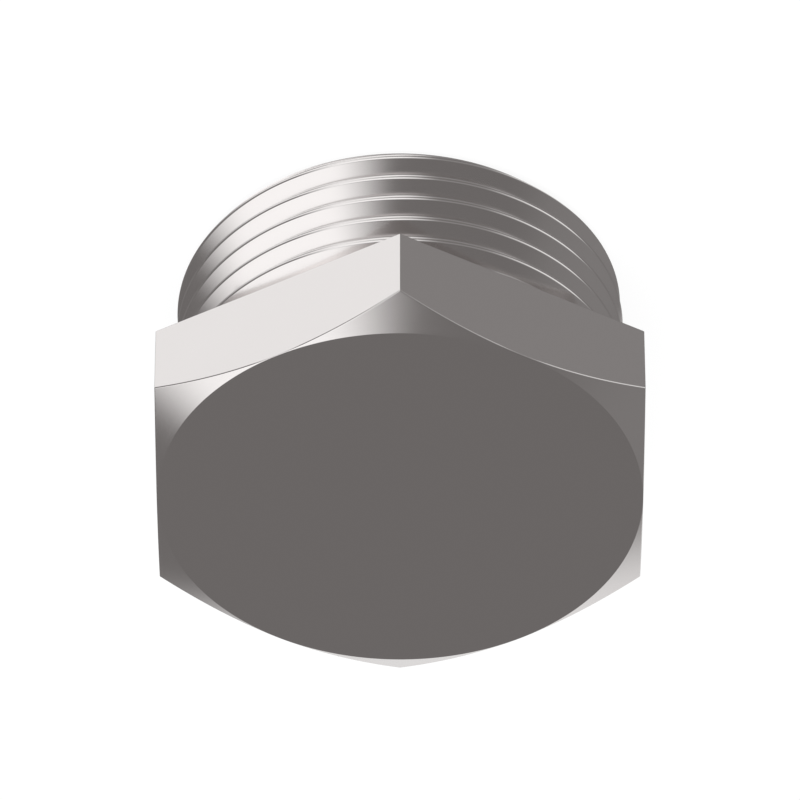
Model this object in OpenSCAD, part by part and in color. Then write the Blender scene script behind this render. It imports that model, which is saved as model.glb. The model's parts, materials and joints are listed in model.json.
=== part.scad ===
// Blanking plug, turned in one piece from hexagon bar: a chamfered hexagon head on a
// short threaded shank. It stands on the end of its thread, with the head on top.
// The origin is the middle of the thread's end face, +Z runs along the axis to the head,
// and one corner of the hexagon points to -Y.

/* [Head] */
// Width across the flats of the hexagon
across_flats = 24; // [24:0.5:40]
// Height of the head, from its seat to its top face
head_h = 4.9; // [2.5:0.1:14]
// Slope of the head's chamfer against its top face, in degrees
chamfer_angle = 30; // [15:1:45]
// How far the round top face stays inside the flats
face_inset = 0.02; // [0.01:0.01:1.5]

/* [Thread] */
// Outside diameter of the thread
thread_d = 22.35; // [14:0.05:23]
// Pitch of the thread, 18 turns to 25.4 mm
thread_pitch = 1.411; // [0.8:0.001:2.2]
// Angle between the two flanks of a groove, in degrees
flank_angle = 80; // [50:1:82]
// Length of the shank, from its end face to the head's seat
shank_l = 8.7; // [6:0.1:30]
// Direction in which the crest starts at the end face, in degrees from +X
start_angle = 38; // [0:1:359]

/* [Ends of the thread] */
// Depth of the 45 degree chamfer at the end face, past the root of the thread
lead_relief = 0.05; // [0.02:0.01:0.8]
// Length of the plain shank between the thread's last groove and the head
plain_l = 0.5; // [0.2:0.1:2]
// Part of a turn over which the last groove runs out to nothing
runout_turn = 0.42; // [0.2:0.01:0.6]

/* [Hidden] */

// Facets of a round surface, and steps of the groove in one turn
round_steps = 120;
turn_steps = 60;

// The thread's depth and the flat on its crest are fixed shares of its pitch
depth_share = 0.475;
crest_share = 0.1;
thread_depth = depth_share * thread_pitch;
crest_flat = crest_share * thread_pitch;

thread_r = thread_d / 2;
root_r = thread_r - thread_depth;
lead_depth = thread_depth + lead_relief;
seat_z = shank_l;
top_z = shank_l + head_h;

face_r = across_flats / 2 - face_inset;
corner_r = across_flats / 2 / cos(30);
turning_room = 1;
rough_r = corner_r + turning_room;

// The groove's cutter stands a little proud of the crest, by less than half the
// room that its flanks leave between one turn and the next
flank_slope = tan(flank_angle / 2);
cutter_proud = 0.3 * crest_flat / flank_slope;
cutter_r = thread_r + cutter_proud;
root_half = (thread_pitch - crest_flat) / 2 - thread_depth * flank_slope;
mouth_half = root_half + (cutter_r - root_r) * flank_slope;

// The cutter enters below the end face. Its path is the middle of the groove, half a
// pitch above the crest. Near the head it lifts out of the shank while it still turns
cut_from = -0.75 * thread_pitch;
cut_full = shank_l - plain_l - mouth_half;
cut_to = cut_full + runout_turn * thread_pitch;
cut_lift = cutter_r - root_r;
cut_angle = 360 * (cut_to - cut_from) / thread_pitch;
cut_rings = ceil(cut_angle / 360 * turn_steps);
cut_start = start_angle + 360 * (cut_from / thread_pitch - 0.5);

// The shank before its thread is cut, with the lead chamfer at its end
module shank_blank() {
    rotate_extrude($fn = round_steps)
        polygon([
            [0, 0],
            [thread_r - lead_depth, 0],
            [thread_r, lead_depth],
            [thread_r, seat_z + head_h / 2],
            [0, seat_z + head_h / 2]
        ]);
}

// A point of the cutter's section at step i: r from the axis, dz above the path
function on_turn(i, r, dz) =
    let (
        a = cut_start + cut_angle * i / cut_rings,
        z = cut_from + (cut_to - cut_from) * i / cut_rings,
        lift = cut_lift * max(0, (z - cut_full) / (cut_to - cut_full))
    )
    [(r + lift) * cos(a), (r + lift) * sin(a), z + dz];

// The right-hand groove of the thread as one solid, swept along its helix
module groove() {
    ring = 4;
    last = ring * cut_rings;
    points = [
        for (i = [0 : cut_rings])
            each [
                on_turn(i, root_r, -root_half),
                on_turn(i, cutter_r, -mouth_half),
                on_turn(i, cutter_r, mouth_half),
                on_turn(i, root_r, root_half)
            ]
    ];
    sides = [
        for (i = [0 : cut_rings - 1], k = [0 : ring - 1])
            let (
                a = ring * i + k,
                b = ring * i + (k + 1) % ring
            )
            each [[a, b, b + ring], [a, b + ring, a + ring]]
    ];
    polyhedron(
        points,
        concat([[3, 2, 1, 0]], sides, [[last, last + 1, last + 2, last + 3]])
    );
}

module threaded_shank() {
    difference() {
        shank_blank();
        groove();
    }
}

// The body of revolution that the hexagon is turned down to: a cone under its top
// face, and below it room for the corners
module chamfer_form() {
    rotate_extrude($fn = round_steps)
        polygon([
            [0, seat_z - head_h],
            [rough_r, seat_z - head_h],
            [rough_r, top_z - (rough_r - face_r) * tan(chamfer_angle)],
            [face_r, top_z],
            [0, top_z]
        ]);
}

// Hexagon with a corner towards -Y
module head() {
    intersection() {
        translate([0, 0, seat_z])
            rotate([0, 0, 30])
                cylinder(h = head_h, r = corner_r, $fn = 6);
        chamfer_form();
    }
}

module plug() {
    color([0.72, 0.71, 0.70])
        union() {
            threaded_shank();
            head();
        }
}

plug();
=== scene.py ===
"""The look of a hexagon-head blanking plug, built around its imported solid.

The plug stands on the end of its thread. Lengths are in metres, in the frame of the
solid: +Z runs up the axis from the thread's end face to the head.
"""

import json
import logging
import math
from dataclasses import dataclass, field
from enum import Enum

import bpy
import numpy as np
from mathutils import Matrix, Vector


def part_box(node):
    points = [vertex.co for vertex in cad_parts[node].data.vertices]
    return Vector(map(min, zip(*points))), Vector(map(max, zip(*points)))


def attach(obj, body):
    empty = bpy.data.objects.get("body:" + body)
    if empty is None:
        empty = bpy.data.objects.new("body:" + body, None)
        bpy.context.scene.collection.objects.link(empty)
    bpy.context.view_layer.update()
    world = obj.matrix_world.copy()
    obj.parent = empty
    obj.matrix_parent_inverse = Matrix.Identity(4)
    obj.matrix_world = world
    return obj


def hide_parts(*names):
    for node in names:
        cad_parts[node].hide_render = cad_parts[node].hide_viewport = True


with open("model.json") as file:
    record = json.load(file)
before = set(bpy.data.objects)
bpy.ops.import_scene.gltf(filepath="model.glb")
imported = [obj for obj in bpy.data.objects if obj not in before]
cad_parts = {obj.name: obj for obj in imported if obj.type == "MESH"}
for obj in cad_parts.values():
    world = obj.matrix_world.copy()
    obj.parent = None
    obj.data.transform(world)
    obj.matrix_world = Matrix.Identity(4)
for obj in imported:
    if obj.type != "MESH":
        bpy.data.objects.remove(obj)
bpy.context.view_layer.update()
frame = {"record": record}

LOG = logging.getLogger("plug")
MM = 0.001
UP = np.array([0.0, 0.0, 1.0])
WHITE = (1.0, 1.0, 1.0)

# Points that fall into one cell of this size are made one point
SAME_PLACE = 1e-8
# Room for rounding errors where a place is compared with a surface or an edge
HAIR = 1e-9
# Radii of the rings of points on a flat round face, as shares of the face's radius
FACE_RINGS = (0.05, 0.35, 0.65, 0.9)
# The two ways to cut a quad into triangles, as places in its list of corners
FIRST_DIAGONAL = ((0, 1, 2), (0, 2, 3))
SECOND_DIAGONAL = ((0, 1, 3), (1, 2, 3))
# The turn from one corner of the hexagon to the next, half of it, and a corner
SECTOR_DEGREES = 60
SECTOR = math.tau / 6
HALF_SECTOR = math.radians(30)
FIRST_CORNER = math.radians(90)


class Wear(Enum):
    """The point attributes of the mesh that its finish reads."""

    # How far a point is a polished edge. It lowers the roughness there and also tints
    # the colour lighter, a painted highlight.
    EDGE = "polished_edge_and_sheen"
    FLAT = "drawn_flat"
    CONE = "turned_cone"


class Ray(Enum):
    """The kinds of ray that a stage shader tells apart, by socket name."""

    CAMERA = "Is Camera Ray"
    GLOSSY = "Is Glossy Ray"
    TRANSMISSION = "Is Transmission Ray"


class Value:
    """A shader socket on which Python's arithmetic adds Math nodes."""

    def __init__(self, graph: "Graph", socket: bpy.types.NodeSocket) -> None:
        """Wraps one output socket.

        Args:
            graph: The graph that new nodes go into.
            socket: The output socket that gives the value.
        """
        self.graph = graph
        self.socket = socket

    def _math(self, operation: str, first: "Term", second: "Term") -> "Value":
        """Adds one Math node.

        Args:
            operation: The Math node's operation.
            first: The first term.
            second: The second term.

        Returns:
            The node's result.
        """
        settings = {"operation": operation}
        return self.graph.add("ShaderNodeMath", settings, {0: first, 1: second})

    def __add__(self, other: "Term") -> "Value":
        """Returns this value plus the other."""
        return self._math("ADD", self, other)

    def __radd__(self, other: "Term") -> "Value":
        """Returns the other plus this value."""
        return self._math("ADD", other, self)

    def __sub__(self, other: "Term") -> "Value":
        """Returns this value less the other."""
        return self._math("SUBTRACT", self, other)

    def __rsub__(self, other: "Term") -> "Value":
        """Returns the other less this value."""
        return self._math("SUBTRACT", other, self)

    def __mul__(self, other: "Term") -> "Value":
        """Returns this value times the other."""
        return self._math("MULTIPLY", self, other)

    def __rmul__(self, other: "Term") -> "Value":
        """Returns the other times this value."""
        return self._math("MULTIPLY", other, self)

    def larger(self, other: "Term") -> "Value":
        """Returns the larger of this value and the other."""
        return self._math("MAXIMUM", self, other)


Term = Value | float
Triple = tuple[float, float, float]
Colour = tuple[float, float, float, float]


class Graph:
    """A shader's node tree, filled through one method."""

    def __init__(self, tree: bpy.types.NodeTree) -> None:
        """Takes a tree and empties it.

        Args:
            tree: The node tree of a material or of the world.
        """
        self.tree = tree
        tree.nodes.clear()

    def add(
        self,
        kind: str,
        settings: dict | None = None,
        inputs: dict | None = None,
        output: int | str = 0,
    ) -> Value:
        """Adds a node, sets it and feeds its sockets.

        Args:
            kind: The node's type.
            settings: Its properties by name.
            inputs: Numbers, tuples or values, by the socket's name or place.
            output: The output socket that is wanted.

        Returns:
            The wanted output as a value.
        """
        node = self.tree.nodes.new(kind)
        for name, setting in (settings or {}).items():
            setattr(node, name, setting)
        for name, term in (inputs or {}).items():
            if isinstance(term, Value):
                self.tree.links.new(term.socket, node.inputs[name])
            else:
                node.inputs[name].default_value = term
        return Value(self, node.outputs[output] if node.outputs else None)

    def _vector(
        self, operation: str, inputs: dict[int, Value | Triple], output: int | str = 0
    ) -> Value:
        """Returns a Vector Math node's output."""
        settings = {"operation": operation}
        return self.add("ShaderNodeVectorMath", settings, inputs, output)

    def dot(self, vector: Value, direction: Triple) -> Value:
        """Returns the dot product of a vector and a fixed direction."""
        return self._vector("DOT_PRODUCT", {0: vector, 1: direction}, "Value")

    def length(self, vector: Value) -> Value:
        """Returns the length of a vector."""
        return self._vector("LENGTH", {0: vector}, "Value")

    def direction(self, vector: Value) -> Value:
        """Returns a vector scaled to length 1."""
        return self._vector("NORMALIZE", {0: vector})

    def stretched(self, vector: Value, factors: Triple) -> Value:
        """Returns a vector times a factor along each axis."""
        return self._vector("MULTIPLY", {0: vector, 1: factors})

    def attribute(self, wear: Wear) -> Value:
        """Returns one of the mesh's point attributes."""
        settings = {"attribute_name": wear.value}
        return self.add("ShaderNodeAttribute", settings, output="Fac")

    def noise(self, place: Value, scale: float, detail: float) -> Value:
        """Returns a soft noise from 0 to 1 at a place in space."""
        inputs = {"Vector": place, "Scale": scale, "Detail": detail}
        return self.add("ShaderNodeTexNoise", None, inputs, "Fac")

    def rise(self, value: Value, start: float, end: float) -> Value:
        """Maps a value smoothly from 0 at the start to 1 at the end.

        Args:
            value: The value to map.
            start: Where the result is 0.
            end: Where the result is 1, above the start.

        Returns:
            The mapped value.
        """
        settings = {"interpolation_type": "SMOOTHSTEP"}
        inputs = {"Value": value, "From Min": start, "From Max": end}
        return self.add("ShaderNodeMapRange", settings, inputs)

    def is_ray(self, *kinds: Ray) -> Value:
        """Tells the kinds of ray apart.

        Args:
            kinds: The kinds that are wanted.

        Returns:
            1 for a ray of one of the kinds and 0 for any other.
        """
        total = self.add("ShaderNodeLightPath", output=kinds[0].value)
        for kind in kinds[1:]:
            total = total.larger(self.add("ShaderNodeLightPath", output=kind.value))
        return total

    def mix_colour(
        self, share: Term, first: Value | Colour, second: Value | Colour
    ) -> Value:
        """Returns the first colour, turned into the second by a share from 0 to 1."""
        inputs = {"Factor": share, 6: first, 7: second}
        return self.add("ShaderNodeMix", {"data_type": "RGBA"}, inputs, 2)

    def mix_shader(self, share: Term, first: Value, second: Value) -> Value:
        """Returns the first shader, turned into the second by a share from 0 to 1."""
        inputs = {"Fac": share, 1: first, 2: second}
        return self.add("ShaderNodeMixShader", None, inputs)


def rgba(colour: Triple) -> Colour:
    """Returns an opaque colour for a socket."""
    return (*colour, 1.0)


def unit(vectors: np.ndarray) -> np.ndarray:
    """Returns the vectors scaled to length 1, along the last axis."""
    return vectors / np.linalg.norm(vectors, axis=-1, keepdims=True)


def turned(first: np.ndarray, second: np.ndarray, share: float) -> np.ndarray:
    """Returns the directions that lie a share of the way from first to second."""
    return unit((1 - share) * first + share * second)


def hump(through: np.ndarray | float) -> np.ndarray | float:
    """Returns 1 in the middle of a round and 0 at its two ends."""
    return 4 * through * (1 - through)


def around(azimuth: np.ndarray) -> np.ndarray:
    """Returns the unit vectors that point away from the axis at the azimuths."""
    return np.stack([np.cos(azimuth), np.sin(azimuth), np.zeros_like(azimuth)], axis=-1)


@dataclass
class Rounding:
    """A small round that replaces a corner of a section.

    It takes no more than its share of the shorter side beside the corner.
    """

    radius: float
    steps: int = 4
    share: float = 0.45

    def points(
        self, before: np.ndarray, corner: np.ndarray, after: np.ndarray
    ) -> tuple[np.ndarray, np.ndarray, np.ndarray]:
        """Rounds the corner.

        Args:
            before: The section's point before the corner, as (..., 2) of r and z.
            corner: The corner.
            after: The point after it.

        Returns:
            The points as (steps + 1, ..., 2), their directions of travel, and how far
            each is through the round, from 0 to 1.
        """
        arrive = corner - before
        leave = after - corner
        shortest = np.minimum(
            np.linalg.norm(arrive, axis=-1), np.linalg.norm(leave, axis=-1)
        )
        arrive, leave = unit(arrive), unit(leave)
        turn = np.arccos(np.clip(np.sum(arrive * leave, axis=-1), -1.0, 1.0))
        tangent = np.minimum(self.radius * np.tan(turn / 2), self.share * shortest)
        start = corner - arrive * tangent[..., None]
        end = corner + leave * tangent[..., None]
        through = np.linspace(0.0, 1.0, self.steps + 1)
        s = through.reshape(-1, *([1] * corner.ndim))
        path = (1 - s) ** 2 * start + 2 * s * (1 - s) * corner + s**2 * end
        return path, turned(arrive, leave, s), through


WearValues = dict[Wear, np.ndarray | float]


class Skin:
    """The points and triangles of one closed surface round the axis."""

    def __init__(self, azimuth: np.ndarray) -> None:
        """Starts an empty surface.

        Args:
            azimuth: The directions of its rows' points, in radians and rising.
        """
        self.azimuth = azimuth
        self.points: list[np.ndarray] = []
        self.normals: list[np.ndarray] = []
        self.wear: dict[Wear, list[np.ndarray]] = {wear: [] for wear in Wear}
        self.triangles: list[np.ndarray] = []
        self.corner_normals: list[np.ndarray] = []
        self.count = 0

    def add_points(
        self,
        points: np.ndarray,
        normals: np.ndarray,
        wear: WearValues | None = None,
    ) -> np.ndarray:
        """Adds points.

        Args:
            points: Their places, as (n, 3).
            normals: Their surface normals.
            wear: How far each attribute holds at the points, from 0 to 1.

        Returns:
            The points' numbers.
        """
        first = self.count
        self.count += len(points)
        self.points.append(points)
        self.normals.append(normals)
        for kind, values in self.wear.items():
            values.append(np.broadcast_to((wear or {}).get(kind, 0.0), len(points)))
        return np.arange(first, self.count)

    def add_row(
        self,
        radius: np.ndarray | float,
        height: np.ndarray | float,
        normals: np.ndarray,
        wear: WearValues | None = None,
    ) -> np.ndarray:
        """Adds one row of points round the axis.

        Args:
            radius: The row's distance from the axis.
            height: The row's height.
            normals: The surface normals at its points.
            wear: How far each attribute holds at the points, from 0 to 1.

        Returns:
            The points' numbers.
        """
        radius = np.broadcast_to(radius, self.azimuth.shape)
        height = np.broadcast_to(height, self.azimuth.shape)
        points = around(self.azimuth) * radius[:, None] + UP * height[:, None]
        return self.add_points(points, normals, wear)

    def add_faces(
        self, triangles: np.ndarray, corner_normals: np.ndarray | None = None
    ) -> None:
        """Adds triangles.

        Args:
            triangles: Three point numbers each.
            corner_normals: The normal at each corner, or the points' own.
        """
        if corner_normals is None:
            corner_normals = np.concatenate(self.normals)[triangles]
        self.triangles.append(triangles)
        self.corner_normals.append(corner_normals)

    def join_rows(self, rows: list[np.ndarray]) -> None:
        """Joins rows by quads, each row to the next.

        Args:
            rows: The rows' point numbers, from the end face to the head.
        """
        for lower, upper in zip(rows, rows[1:]):
            a, b = lower, np.roll(lower, -1)
            d, c = upper, np.roll(upper, -1)
            self.add_faces(np.stack([a, b, c], 1))
            self.add_faces(np.stack([a, c, d], 1))

    def close(self, row: np.ndarray, height: float, upward: bool) -> None:
        """Closes a row with a fan to one point on the axis.

        Args:
            row: The row's point numbers.
            height: The height of the point on the axis.
            upward: Whether the closed face looks up.
        """
        normal = UP if upward else -UP
        middle = self.add_points((UP * height)[None], normal[None])
        centre = np.full_like(row, middle[0])
        following = np.roll(row, -1)
        corners = [row, following, centre] if upward else [following, row, centre]
        self.add_faces(np.stack(corners, 1))

    def _merged(self) -> tuple[np.ndarray, np.ndarray, np.ndarray]:
        """Makes points that lie in one place one point.

        Returns:
            Which points are left, the triangles between them, and which of the
            surface's triangles these are. The others have come down to a line.
        """
        cells = np.round(np.concatenate(self.points) / SAME_PLACE).astype(np.int64)
        _, first, place = np.unique(
            cells, axis=0, return_index=True, return_inverse=True
        )
        triangles = first[place.ravel()][np.concatenate(self.triangles)]
        a, b, c = triangles.T
        real = (a != b) & (b != c) & (c != a)
        left, faces = np.unique(triangles[real], return_inverse=True)
        return left, faces.reshape(-1, 3), real

    def build(self, name: str) -> bpy.types.Object:
        """Makes the mesh object.

        Args:
            name: The object's name.

        Returns:
            The object, linked to the scene.
        """
        left, faces, real = self._merged()
        points = np.concatenate(self.points)[left]
        mesh = bpy.data.meshes.new(name)
        mesh.from_pydata(points.tolist(), [], faces.tolist())
        for kind, parts in self.wear.items():
            values = np.concatenate(parts)[left].astype(np.float32)
            layer = mesh.attributes.new(kind.value, "FLOAT", "POINT")
            layer.data.foreach_set("value", values)
        mesh.shade_smooth()
        corner_normals = unit(np.concatenate(self.corner_normals)[real])
        mesh.normals_split_custom_set(corner_normals.reshape(-1, 3).tolist())
        mesh.validate(verbose=False)
        piece = bpy.data.objects.new(name, mesh)
        bpy.context.scene.collection.objects.link(piece)
        return piece


@dataclass
class ThreadGrid:
    """The thread's points, in a row for each point of its section, turn above turn.

    Each row follows its helix once round the axis. Points that are outside lie on
    the uncut shank, and those on the rim are where it meets the groove. The edge mark
    says how far a point is a polished edge, which the finish also tints lighter as a
    painted highlight.
    """

    radius: np.ndarray
    height: np.ndarray
    normal_r: np.ndarray
    normal_z: np.ndarray
    polish_and_sheen: np.ndarray
    outside: np.ndarray
    rim: np.ndarray
    per_turn: int

    def corners(
        self, values: np.ndarray, filler: np.ndarray | float
    ) -> list[np.ndarray]:
        """Takes values of the points to the quads between them.

        The first column is there again after the last, one turn further up.

        Args:
            values: The values, in the order of the points.
            filler: The value that stands above the last turn.

        Returns:
            The values at the four corners of each quad, in order.
        """
        first = values[self.per_turn :, 0]
        above = np.broadcast_to(filler, (self.per_turn, *first.shape[1:]))
        again = np.concatenate([first, above])[:, None]
        grid = np.concatenate([values, again], axis=1)
        return [grid[:-1, :-1], grid[:-1, 1:], grid[1:, 1:], grid[1:, :-1]]


@dataclass
class ThreadedShank:
    """The shank: an end face, a lead chamfer, a right-hand thread and a plain end.

    The thread's depth and the flat on its crest are shares of its pitch. The cutter
    of its groove stands a little proud of the crest, by a share that goes with that
    flat. The thread's rows start at the first height, and the last row leaves the
    top share of the plain end above it.
    """

    crest_r: float
    length: float
    pitch: float = 1.411 * MM
    flank_angle: float = math.radians(80)
    depth_share: float = 0.475
    crest_share: float = 0.1
    crest_start: float = math.radians(44)
    lead_relief: float = 0.01 * MM
    lead_length: float = 0.8 * MM
    plain_length: float = 0.5 * MM
    runout_turn: float = 0.42
    proud_share: float = 0.3
    first_z: float = 0.012 * MM
    top_share: float = 0.7
    # How far the rim is a polished edge. The finish also tints it lighter there, as a
    # painted highlight.
    rim_polish_and_sheen: float = 0.6
    crest_round: Rounding = field(default_factory=lambda: Rounding(0.13 * MM, 5, 0.95))
    root_round: Rounding = field(default_factory=lambda: Rounding(0.14 * MM, 5, 0.95))
    end_round: Rounding = field(default_factory=lambda: Rounding(0.03 * MM, 3))

    def __post_init__(self) -> None:
        """Works out the lengths that follow from the fields."""
        self.depth = self.depth_share * self.pitch
        self.crest_flat = self.crest_share * self.pitch
        self.root_r = self.crest_r - self.depth
        self.end_r = self.root_r - self.lead_relief
        self.lead_slope = (self.crest_r - self.end_r) / self.lead_length
        slope = math.tan(self.flank_angle / 2)
        self.root_half = (self.pitch - self.crest_flat) / 2 - self.depth * slope
        self.cutter_proud = self.proud_share * self.crest_flat / slope
        mouth_half = self.root_half + (self.depth + self.cutter_proud) * slope
        self.full_until = self.length - self.plain_length - mouth_half
        self.runout = self.runout_turn * self.pitch
        self.last_z = self.length - self.top_share * self.plain_length

    def envelope(self, height: np.ndarray) -> np.ndarray:
        """Returns the radius of the shank before its groove is cut, at each height."""
        return np.minimum(self.crest_r, self.end_r + height * self.lead_slope)

    def lead_normals(self, outward: np.ndarray) -> np.ndarray:
        """Returns the lead chamfer's normals, where outward leads off the axis."""
        return unit(outward - self.lead_slope * UP)

    def envelope_normals(self, height: np.ndarray, outward: np.ndarray) -> np.ndarray:
        """Gives the normals of the uncut shank.

        Args:
            height: The points' heights.
            outward: Unit vectors away from the axis.

        Returns:
            The normal of the lead chamfer below its top, and of the cylinder above.
        """
        on_lead = (height < self.lead_length - HAIR)[..., None]
        return np.where(on_lead, self.lead_normals(outward), outward)

    def tooth(self) -> tuple[np.ndarray, np.ndarray, np.ndarray]:
        """Draws one turn of the thread's section, from root to root.

        Returns:
            Points as r and the height over the crest's middle, their normals as r
            and z, and how far each is a polished edge.
        """
        root_middle = np.array([self.root_r, -self.pitch / 2])
        root_end = root_middle + [0.0, self.root_half]
        crest_end = np.array([self.crest_r, -self.crest_flat / 2])
        crest_middle = np.array([self.crest_r, 0.0])
        low, low_way, _ = self.root_round.points(root_middle, root_end, crest_end)
        high, high_way, through = self.crest_round.points(
            root_end, crest_end, crest_middle
        )
        points = np.vstack([root_middle, low, high])
        way = np.vstack([[0.0, 1.0], low_way, high_way])
        normals = np.stack([way[:, 1], -way[:, 0]], axis=1)
        polish_and_sheen = np.concatenate([np.zeros(1 + len(low)), hump(through)])
        flip = np.array([1.0, -1.0])
        return (
            np.vstack([points, points[:0:-1] * flip]),
            np.vstack([normals, normals[:0:-1] * flip]),
            np.concatenate([polish_and_sheen, polish_and_sheen[:0:-1]]),
        )

    def add_to(self, skin: Skin) -> np.ndarray:
        """Adds the shank to the surface.

        Args:
            skin: The surface. Its azimuths start where its rows' seam is.

        Returns:
            The last row's point numbers, on the plain end.
        """
        lead_row = self._add_end(skin)
        last_row = skin.add_row(self.crest_r, self.last_z, around(skin.azimuth))
        self._add_thread(skin, lead_row, last_row)
        return last_row

    def _add_end(self, skin: Skin) -> np.ndarray:
        """Adds the end face and the foot of the lead chamfer.

        Args:
            skin: The surface.

        Returns:
            The last row's point numbers, on the lead chamfer.
        """
        outward = around(skin.azimuth)
        lead_normals = self.lead_normals(outward)
        down = np.broadcast_to(-UP, outward.shape)
        rows = [skin.add_row(self.end_r * share, 0.0, down) for share in FACE_RINGS]
        skin.close(rows[0], 0.0, upward=False)
        inner = np.array([self.end_r * FACE_RINGS[-1], 0.0])
        corner = np.array([self.end_r, 0.0])
        outer = corner + self.first_z * np.array([self.lead_slope, 1.0])
        path, _, through = self.end_round.points(inner, corner, outer)
        for (radius, height), share in zip(path, through):
            normals = turned(down, lead_normals, share)
            wear = {Wear.EDGE: hump(share)}
            rows.append(skin.add_row(radius, height, normals, wear))
        rows.append(skin.add_row(outer[0], outer[1], lead_normals))
        skin.join_rows(rows)
        return rows[-1]

    def _grid(self, azimuth: np.ndarray) -> ThreadGrid:
        """Leads the thread's section round its helix.

        Where the lead chamfer or the run-out cuts the thread off, its points lie on
        the uncut shank, and the first of them on the rim.

        Args:
            azimuth: The directions of the points in each row.

        Returns:
            The thread's points.
        """
        section, normals, polish_and_sheen = self.tooth()
        crest_z = self.pitch * (azimuth - self.crest_start) / math.tau
        turns = np.arange(
            math.floor(-crest_z[-1] / self.pitch) - 1,
            math.ceil((self.length - crest_z[0]) / self.pitch) + 2,
        )
        shape = (len(turns) * len(section), len(azimuth))

        def spread(values: np.ndarray) -> np.ndarray:
            """Returns values of the section's points for every turn and azimuth."""
            return np.broadcast_to(np.tile(values, len(turns))[:, None], shape).copy()

        over = spread(section[:, 1])
        middle = crest_z + np.repeat(turns * self.pitch, len(section))[:, None]
        groove_z = middle + np.where(over > 0, 0.5, -0.5) * self.pitch
        rise = np.maximum(0.0, (groove_z - self.full_until) / self.runout)
        radius = spread(section[:, 0]) + rise * (self.depth + self.cutter_proud)
        height = middle + over
        uncut = self.envelope(height)
        beyond = radius - uncut
        outside = beyond > HAIR

        whole = [radius, height, spread(normals[:, 0]), spread(normals[:, 1])]
        placed = [values.copy() for values in whole]
        placed[0][outside] = uncut[outside]
        rim = np.zeros(shape, bool)
        below, above = slice(0, -1), slice(1, None)
        for here, there in ((below, above), (above, below)):
            crosses = ~outside[here] & outside[there] & ~rim[there]
            step = np.where(crosses, beyond[there] - beyond[here], 1.0)
            share = np.where(crosses, -beyond[here] / step, 0.0)
            for target, source in zip(placed, whole):
                between = source[here] + share * (source[there] - source[here])
                target[there][crosses] = between[crosses]
            rim[there] |= crosses
        polish_and_sheen = np.where(outside, 0.0, spread(polish_and_sheen))
        polish_and_sheen[rim] = self.rim_polish_and_sheen
        return ThreadGrid(*placed, polish_and_sheen, outside, rim, len(section))

    def _add_thread(
        self, skin: Skin, lead_row: np.ndarray, last_row: np.ndarray
    ) -> None:
        """Adds the thread between two rows that go straight round.

        Args:
            skin: The surface.
            lead_row: The row at the foot of the lead chamfer.
            last_row: The row on the plain end.
        """
        grid = self._grid(skin.azimuth)
        outward = around(skin.azimuth)
        along = np.cross(UP, outward)
        lean = -grid.normal_z * self.pitch / math.tau / grid.radius
        thread_normals = unit(
            grid.normal_r[..., None] * outward
            + lean[..., None] * along
            + grid.normal_z[..., None] * UP
        )
        shank_normals = self.envelope_normals(grid.height, outward)
        points = grid.radius[..., None] * outward + grid.height[..., None] * UP

        plain = grid.outside & ~grid.rim
        low = plain & (grid.height < self.first_z)
        high = plain & (grid.height > self.last_z)
        own = ~(low | high)
        on_shank = grid.outside[..., None]
        normals = np.where(on_shank, shank_normals, thread_normals)
        numbers = np.where(low, lead_row, last_row)
        wear = {Wear.EDGE: grid.polish_and_sheen[own]}
        numbers[own] = skin.add_points(points[own], normals[own], wear)

        a_rim, b_rim, c_rim, d_rim = grid.corners(grid.rim, False)
        by_second = b_rim & d_rim & ~(a_rim & c_rim)
        quads = (
            grid.corners(numbers, last_row[0]),
            grid.corners(grid.outside, True),
            grid.corners(thread_normals, outward[0]),
            grid.corners(shank_normals, outward[0]),
        )
        ways = ((~by_second, FIRST_DIAGONAL), (by_second, SECOND_DIAGONAL))
        for chosen, halves in ways:
            for half in halves:
                ids, outside, on_thread, on_plain = (
                    np.stack([values[k][chosen] for k in half], axis=1)
                    for values in quads
                )
                whole = outside.all(axis=1)[:, None, None]
                skin.add_faces(ids, np.where(whole, on_plain, on_thread))


@dataclass
class Bend:
    """A corner of the head's section, and the two sides that it joins.

    The normals and the marks belong to the side before it and the side after it.
    """

    before: np.ndarray
    corner: np.ndarray
    after: np.ndarray
    normals: tuple[np.ndarray, np.ndarray]
    marks: tuple[Wear | None, Wear | None]
    rounding: Rounding
    # How far the round is a polished edge. The finish also tints it lighter there, as a
    # painted highlight.
    polish_and_sheen: float = 1.0

    def add_to(self, skin: Skin) -> list[np.ndarray]:
        """Adds the rounded corner to the surface.

        Args:
            skin: The surface.

        Returns:
            The point numbers of its rows, in order.
        """
        path, _, through = self.rounding.points(self.before, self.corner, self.after)
        rows = []
        for place, share in zip(path, through):
            wear = {Wear.EDGE: self.polish_and_sheen * hump(share)}
            mark = self.marks[0] if share < 0.5 else self.marks[1]
            if mark is not None:
                wear[mark] = 1.0
            normals = turned(*self.normals, share)
            rows.append(skin.add_row(place[:, 0], place[:, 1], normals, wear))
        return rows


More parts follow.
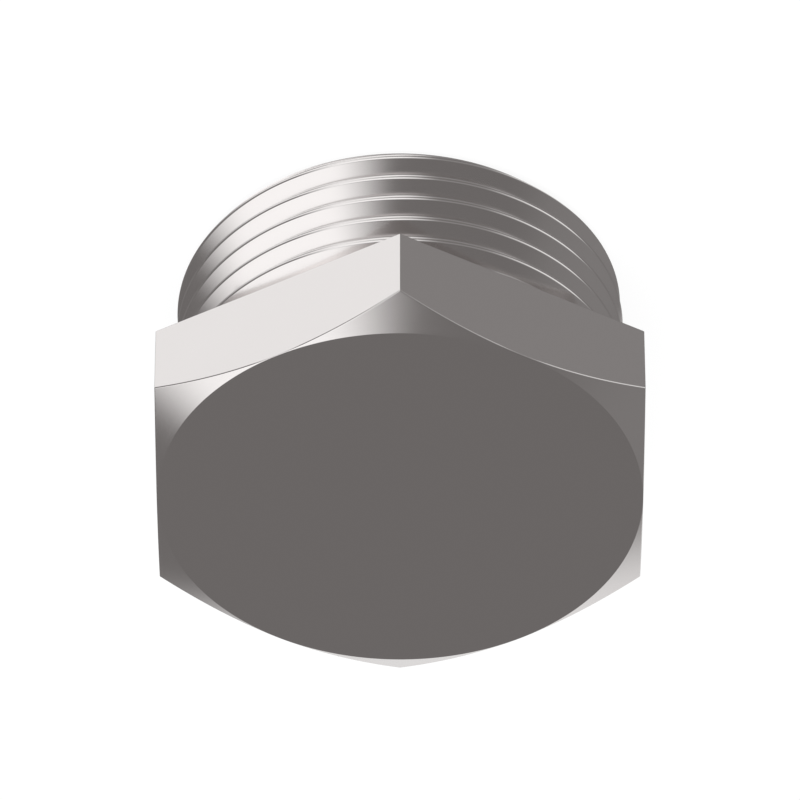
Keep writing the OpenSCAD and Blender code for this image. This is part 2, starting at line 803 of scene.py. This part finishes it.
@dataclass
class HexagonHead:
    """The head: a hexagon with a corner to -Y, turned down to a round top face.

    A row has one point to a degree, and more where the corners are rounded. The
    seat's foot is the part of the shank that the fillet under the head may use.
    """

    across_flats: float
    seat_z: float
    top_z: float
    chamfer_angle: float = math.radians(30)
    face_inset: float = 0.02 * MM
    corner_r: float = 0.05 * MM
    seat_foot: float = 0.3 * MM
    edge_round: Rounding = field(default_factory=lambda: Rounding(0.05 * MM))
    brow_round: Rounding = field(default_factory=lambda: Rounding(0.09 * MM))
    seat_round: Rounding = field(default_factory=lambda: Rounding(0.12 * MM))

    def __post_init__(self) -> None:
        """Works out the lengths that follow from the fields."""
        self.apothem = self.across_flats / 2
        self.sharp_r = self.apothem / math.cos(HALF_SECTOR)
        self.face_r = self.apothem - self.face_inset
        tangent = self.corner_r * math.tan(HALF_SECTOR)
        self.corner_turn = math.atan2(
            tangent * math.cos(HALF_SECTOR), self.sharp_r - tangent / 2
        )

    def azimuths(self) -> np.ndarray:
        """Spreads the points of a row.

        Returns:
            Their directions, with those of the rounded corners.
        """
        even = np.radians(np.arange(1, SECTOR_DEGREES))
        near = self.corner_turn * np.array([0.0, 0.5, 1.0])
        offsets = np.concatenate([near, even, SECTOR - near[:0:-1]])
        corners = FIRST_CORNER + SECTOR * np.arange(6)
        return (corners[:, None] + offsets).ravel()

    def outline(self, azimuth: np.ndarray) -> tuple[np.ndarray, np.ndarray]:
        """Draws the hexagon with its rounded corners.

        Args:
            azimuth: The directions of the points.

        Returns:
            The distance from the axis in each direction, and the sides' normals.
        """
        corner = np.round((azimuth - FIRST_CORNER) / SECTOR) * SECTOR + FIRST_CORNER
        off = azimuth - corner
        side, off = np.sign(off), np.abs(off)
        inner = self.sharp_r - self.corner_r / math.cos(HALF_SECTOR)
        at_corner = off <= self.corner_turn + HAIR
        across = np.clip(self.corner_r**2 - (inner * np.sin(off)) ** 2, 0.0, None)
        round_r = inner * np.cos(off) + np.sqrt(across)
        flat_r = self.apothem / np.cos(HALF_SECTOR - off)
        distance = np.where(at_corner, round_r, flat_r)
        lean = round_r * np.sin(off) / self.corner_r
        lean = np.arcsin(np.clip(lean, 0.0, math.sin(HALF_SECTOR)))
        away = np.where(at_corner, lean, HALF_SECTOR)
        return distance, around(corner + side * away)

    def add_to(self, skin: Skin, shank_row: np.ndarray, shank_r: float) -> None:
        """Adds the head to the surface.

        Args:
            skin: The surface.
            shank_row: The shank's last row of points.
            shank_r: The radius of the shank there.
        """
        reach, flats = self.outline(skin.azimuth)
        outward = around(skin.azimuth)
        down = np.broadcast_to(-UP, outward.shape)
        up = -down
        slope = math.tan(self.chamfer_angle)
        cone = unit(outward * slope + UP)
        shoulder = self.top_z - (reach - self.face_r) * slope
        level = np.ones_like(reach)

        def point(radius: np.ndarray | float, height: np.ndarray | float) -> np.ndarray:
            """Returns a section point for every azimuth."""
            return np.stack([radius * level, height * level], axis=-1)

        foot = point(shank_r, self.seat_z - self.seat_foot)
        seat = point(shank_r, self.seat_z)
        rim = point(reach, self.seat_z)
        brow = point(reach, shoulder)
        face = point(self.face_r, self.top_z)
        ring = point(self.face_r * FACE_RINGS[-1], self.top_z)
        no_mark = (None, None)
        bends = (
            Bend(foot, seat, rim, (outward, down), no_mark, self.seat_round, 0.0),
            Bend(seat, rim, brow, (down, flats), (None, Wear.FLAT), self.edge_round),
            Bend(
                rim, brow, face, (flats, cone), (Wear.FLAT, Wear.CONE), self.brow_round
            ),
            Bend(brow, face, ring, (cone, up), (Wear.CONE, None), self.edge_round),
        )
        rows = [shank_row]
        for bend in bends:
            rows += bend.add_to(skin)
        for share in reversed(FACE_RINGS):
            rows.append(skin.add_row(self.face_r * share, self.top_z, up))
        skin.join_rows(rows)
        skin.close(rows[-1], self.top_z, upward=True)


@dataclass(frozen=True)
class BrightSteel:
    """Turned and drawn stainless steel with fine tool marks, and polished edges tinted
    lighter as a painted highlight.

    The marks are rings on the turned surfaces. On the flats they run level, and the
    drawn share says how much slower they change that way than along the axis.
    """

    colour: Triple = (0.807, 0.777, 0.768)
    # Painted highlight: a lighter tint on the polished edges that brightens their
    # highlight lines.
    edge_sheen_colour: Triple = (0.85, 0.822, 0.812)
    roughness: float = 0.14
    cone_roughness: float = 0.18
    roughness_spread: float = 0.03
    edge_polish: float = 0.04
    mark_width: float = 0.09 * MM
    mark_depth: float = 0.0003 * MM
    mark_grain: float = 0.6
    plain_marks: float = 0.3
    cone_marks: float = 1.3
    drawn_share: float = 0.06
    cloud_size: float = 3.0 * MM
    detail: float = 3.0

    def material(self, name: str) -> bpy.types.Material:
        """Makes the material.

        Args:
            name: The material's name.

        Returns:
            The material.
        """
        material = bpy.data.materials.new(name)
        material.use_nodes = True
        graph = Graph(material.node_tree)
        place = graph.add("ShaderNodeTexCoord", output="Object")
        height = graph.add("ShaderNodeSeparateXYZ", inputs={0: place}, output="Z")
        radius = graph.length(graph.stretched(place, (1.0, 1.0, 0.0)))
        edge = graph.attribute(Wear.EDGE)
        flat = graph.attribute(Wear.FLAT)
        cone = graph.attribute(Wear.CONE)

        mark_scale = 1 / self.mark_width
        rings = graph.add(
            "ShaderNodeTexNoise",
            {"noise_dimensions": "1D"},
            {
                "W": radius + height,
                "Scale": mark_scale,
                "Detail": self.detail,
                "Roughness": self.mark_grain,
            },
            "Fac",
        )
        drawn_place = graph.stretched(place, (self.drawn_share, self.drawn_share, 1.0))
        drawn = graph.noise(drawn_place, mark_scale, self.detail)
        marks = rings * (1 - flat) + drawn * flat
        cloud = graph.noise(place, 1 / self.cloud_size, self.detail)
        # The edge mask tints the polished edges lighter, a painted highlight. Below, it
        # also lowers their roughness.
        colour = graph.mix_colour(edge, rgba(self.colour), rgba(self.edge_sheen_colour))
        rough = (
            self.roughness
            + cone * (self.cone_roughness - self.roughness)
            + (cloud - 0.5) * self.roughness_spread
            + (marks - 0.5) * self.roughness_spread
            - edge * self.edge_polish
        )
        depth = (
            self.plain_marks
            + flat * (1 - self.plain_marks)
            + cone * (self.cone_marks - self.plain_marks)
        )
        relief = {
            "Strength": 1.0,
            "Distance": self.mark_depth,
            "Height": marks * depth,
        }
        surface = {
            "Base Color": colour,
            "Metallic": 1.0,
            "Roughness": rough,
            "Normal": graph.add("ShaderNodeBump", None, relief),
        }
        shader = graph.add("ShaderNodeBsdfPrincipled", None, surface)
        graph.add("ShaderNodeOutputMaterial", inputs={"Surface": shader})
        return material


@dataclass
class BlankingPlug:
    """The whole plug, one piece of steel."""

    shank: ThreadedShank
    head: HexagonHead
    finish: BrightSteel

    @classmethod
    def from_frame(cls) -> "BlankingPlug":
        """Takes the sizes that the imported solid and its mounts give.

        Returns:
            The plug, not built yet.
        """
        low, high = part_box("plug")
        mounts = {mount["name"]: mount for mount in frame["record"]["mounts"]}
        seat_z = mounts["seat"]["pos_m"][2]
        crest_r = mounts["thread"]["dims"]["r_mm"] * MM
        shank = ThreadedShank(crest_r=crest_r, length=seat_z)
        head = HexagonHead(across_flats=high.x - low.x, seat_z=seat_z, top_z=high.z)
        return cls(shank, head, BrightSteel())

    def build(self) -> bpy.types.Object:
        """Builds the plug's mesh, dresses it and ties it to the solid it stands for.

        Returns:
            The plug.
        """
        skin = Skin(self.head.azimuths())
        shank_row = self.shank.add_to(skin)
        self.head.add_to(skin, shank_row, self.shank.crest_r)
        piece = skin.build("turned_plug")
        piece.data.materials.append(self.finish.material("bright_steel"))
        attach(piece, "root")
        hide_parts("plug")
        return piece


@dataclass(frozen=True)
class Edge:
    """A straight, soft edge of a window of light.

    The side that it keeps lies in its direction, given in degrees, past its offset.
    The offset and the softness are shares of the tent's radius.
    """

    azimuth: float
    elevation: float
    offset: float
    soft: float

    def keep(self, graph: Graph, way: Value) -> Value:
        """Cuts along the edge.

        Args:
            graph: The graph that its nodes go into.
            way: The direction from the middle of the tent.

        Returns:
            1 on the side that the edge keeps and 0 on the other.
        """
        azimuth, elevation = math.radians(self.azimuth), math.radians(self.elevation)
        level = math.cos(elevation)
        normal = (
            level * math.cos(azimuth),
            level * math.sin(azimuth),
            math.sin(elevation),
        )
        past = graph.dot(way, normal)
        return graph.rise(past, self.offset - self.soft, self.offset + self.soft)


@dataclass(frozen=True)
class Window:
    """A soft window of light in the tent, cut out by its edges."""

    level: float
    edges: tuple[Edge, ...]

    def light(self, graph: Graph, way: Value) -> Value:
        """Lights the window.

        Args:
            graph: The graph that its nodes go into.
            way: The direction from the middle of the tent.

        Returns:
            The window's light in that direction.
        """
        total = self.edges[0].keep(graph, way)
        for edge in self.edges[1:]:
            total = total * edge.keep(graph, way)
        return total * self.level


@dataclass
class Studio:
    """The stage: a small pale floor in a white room, and a tent that metal mirrors.

    The floor fades into the room between its two fade shares of its radius. The tent
    is grey, and turns to its low grey across the low edge.
    """

    world_light: float = 0.75
    lamp_power: float = 16.0
    lamp_size: float = 0.6
    lamp_place: Triple = (0.05, -0.5, 0.85)
    floor_r: float = 65 * MM
    floor_drop: float = 0.02 * MM
    floor_glow: float = 0.93
    floor_fade: tuple[float, float] = (0.35, 0.95)
    floor_colour: Triple = (0.86, 0.86, 0.86)
    floor_sides: int = 96
    tent_r: float = 2.0
    tent_segments: int = 64
    tent_rings: int = 32
    grey: Triple = (0.176, 0.1684, 0.1667)
    low_grey: Triple = (0.195, 0.1866, 0.1847)
    low_edge: Edge = Edge(0, -90, 0.2, 0.15)
    top_window: Window = Window(
        1.16,
        (
            Edge(-5, 33, 0.623, 0.154),
            Edge(-107, 86, 0.49, 0.125),
            Edge(-76, 0, -0.155, 0.136),
        ),
    )
    front_window: Window = Window(
        1.07,
        (
            Edge(-23, 0, 0.193, 0.188),
            Edge(-140, 0, 0.04, 0.2),
            Edge(-27, -73, -0.24, 0.376),
            Edge(0, 90, -0.702, 0.06),
        ),
    )
    side_window: Window = Window(
        0.869,
        (
            Edge(127, 0, -0.061, 0.308),
            Edge(-101, 0, 0.168, 0.117),
            Edge(0, -90, -0.332, 0.4),
            Edge(0, 90, -0.56, 0.06),
        ),
    )
    back_window: Window = Window(
        0.816,
        (
            Edge(0, -90, -0.151, 0.252),
            Edge(-167, 0, -0.457, 0.145),
            Edge(99, 0, 0.816, 0.153),
        ),
    )
    low_window: Window = Window(
        0.999,
        (
            Edge(11, 0, 0.05, 0.165),
            Edge(-91, 0, -0.102, 0.273),
            Edge(0, -90, 0.562, 0.104),
        ),
    )
    gap_window: Window = Window(
        0.12,
        (
            Edge(-124, 0, 0.396, 0.083),
            Edge(0, -90, -0.372, 0.06),
            Edge(0, 90, -0.45, 0.06),
        ),
    )
    side_wash: Window = Window(0.08, (Edge(160, 25, 0.9, 0.15),))
    seat_glow: Window = Window(1.28, (Edge(-42, -54, 0.982, 0.008),))
    low_card: Window = Window(0.08, (Edge(-150, -43, 0.991, 0.004),))

    def build(self) -> list[bpy.types.Object]:
        """Builds the world, the lamp, the floor and the tent.

        Returns:
            The stage's objects.
        """
        self._world()
        self._lamp()
        objects = [self._floor(), self._tent()]
        return objects

    def _world(self) -> None:
        """Makes a plain white world that the camera and the metal see as white."""
        world = bpy.data.worlds.new("white_room")
        bpy.context.scene.world = world
        world.use_nodes = True
        graph = Graph(world.node_tree)
        seen = graph.is_ray(Ray.CAMERA, Ray.GLOSSY, Ray.TRANSMISSION)
        dim = {"Strength": self.world_light}
        full = {"Color": rgba(WHITE), "Strength": 1.0}
        light = graph.add("ShaderNodeBackground", None, dim)
        white = graph.add("ShaderNodeBackground", None, full)
        both = graph.mix_shader(seen, light, white)
        graph.add("ShaderNodeOutputWorld", inputs={"Surface": both})

    def _lamp(self) -> None:
        """Hangs one large soft lamp over the floor, which the metal doesn't mirror."""
        data = bpy.data.lights.new("soft_lamp", "AREA")
        data.shape = "DISK"
        data.size = self.lamp_size
        data.energy = self.lamp_power
        lamp = bpy.data.objects.new("soft_lamp", data)
        lamp.location = self.lamp_place
        lamp.rotation_euler = lamp.location.to_track_quat("Z", "Y").to_euler()
        lamp.visible_glossy = False
        bpy.context.scene.collection.objects.link(lamp)

    def _floor(self) -> bpy.types.Object:
        """Lays a pale round floor that fades into the white room.

        Returns:
            The floor. In the metal's reflections the tent's lower half takes its
            place.
        """
        bpy.ops.mesh.primitive_circle_add(
            vertices=self.floor_sides,
            radius=self.floor_r,
            fill_type="NGON",
            location=(0, 0, -self.floor_drop),
        )
        floor = bpy.context.object
        floor.name = "pale_floor"
        graph = self._graph(floor)
        place = graph.add("ShaderNodeTexCoord", output="Object")
        start, end = (share * self.floor_r for share in self.floor_fade)
        fade = graph.rise(graph.length(place), start, end)
        seen = graph.is_ray(Ray.CAMERA, Ray.GLOSSY, Ray.TRANSMISSION)
        glow = (self.floor_glow + (1 - self.floor_glow) * fade) * seen
        pale = {"Color": rgba(self.floor_colour)}
        full = {"Color": rgba(WHITE), "Strength": 1.0}
        matt = graph.add("ShaderNodeBsdfDiffuse", None, pale)
        white = graph.add("ShaderNodeEmission", None, full)
        both = graph.mix_shader(glow, matt, white)
        graph.add("ShaderNodeOutputMaterial", inputs={"Surface": both})
        floor.visible_glossy = False
        return floor

    def _tent(self) -> bpy.types.Object:
        """Hangs a grey tent far around, with the soft windows of light in it.

        Returns:
            The tent, which only the metal's reflections see.
        """
        bpy.ops.mesh.primitive_uv_sphere_add(
            segments=self.tent_segments, ring_count=self.tent_rings, radius=self.tent_r
        )
        tent = bpy.context.object
        tent.name = "soft_tent"
        graph = self._graph(tent)
        way = graph.direction(graph.add("ShaderNodeTexCoord", output="Object"))
        low = self.low_edge.keep(graph, way)
        grey = graph.mix_colour(low, rgba(self.grey), rgba(self.low_grey))
        light = self.top_window.light(graph, way)
        others = (
            self.front_window,
            self.side_window,
            self.back_window,
            self.low_window,
            self.gap_window,
            self.side_wash,
            self.seat_glow,
            self.low_card,
        )
        for window in others:
            light = light.larger(window.light(graph, way))
        tone = graph.mix_colour(light, grey, rgba(WHITE))
        glow = {"Color": tone, "Strength": light.larger(1.0)}
        shader = graph.add("ShaderNodeEmission", None, glow)
        graph.add("ShaderNodeOutputMaterial", inputs={"Surface": shader})
        tent.visible_camera = False
        tent.visible_diffuse = False
        tent.visible_shadow = False
        tent.visible_transmission = False
        tent.visible_volume_scatter = False
        return tent

    @staticmethod
    def _graph(stage: bpy.types.Object) -> Graph:
        """Gives a stage object a material of its own name.

        Args:
            stage: The object.

        Returns:
            The material's graph, still empty.
        """
        material = bpy.data.materials.new(stage.name)
        material.use_nodes = True
        stage.data.materials.append(material)
        return Graph(material.node_tree)


@dataclass
class ProductCamera:
    """A long-lens camera above the head, rolled so that the thread is at the top."""

    elevation: float = math.radians(42.774)
    distance: float = 459.4 * MM
    aim: Triple = (0.0, 0.852 * MM, 6.122 * MM)
    focal_px: float = 9199.6
    image_px: float = 800.0
    sensor_mm: float = 36.0
    nearest: float = 0.01
    furthest: float = 10.0

    def build(self) -> bpy.types.Object:
        """Places the camera and makes it the scene's.

        Returns:
            The camera.
        """
        data = bpy.data.cameras.new("product_camera")
        data.sensor_width = self.sensor_mm
        data.lens = self.focal_px / self.image_px * self.sensor_mm
        data.clip_start = self.nearest
        data.clip_end = self.furthest
        back = Vector((0.0, -math.cos(self.elevation), math.sin(self.elevation)))
        right = Vector((-1.0, 0.0, 0.0))
        up = back.cross(right)
        turn = Matrix((right, up, back)).transposed().to_4x4()
        place = Matrix.Translation(Vector(self.aim) + back * self.distance)
        camera = bpy.data.objects.new("product_camera", data)
        camera.matrix_world = place @ turn
        bpy.context.scene.collection.objects.link(camera)
        bpy.context.scene.camera = camera
        return camera


def main() -> None:
    """Builds the camera, the plug and the stage."""
    logging.basicConfig(level=logging.INFO, format="%(message)s")
    bpy.context.scene.view_settings.view_transform = "Standard"
    camera = ProductCamera().build()
    LOG.info("camera %s at %s", camera.name, tuple(camera.location))
    plug = BlankingPlug.from_frame().build()
    LOG.info("piece %s: %d triangles", plug.name, len(plug.data.polygons))
    for stage in Studio().build():
        LOG.info("stage %s", stage.name)


if __name__ == "__main__":
    main()
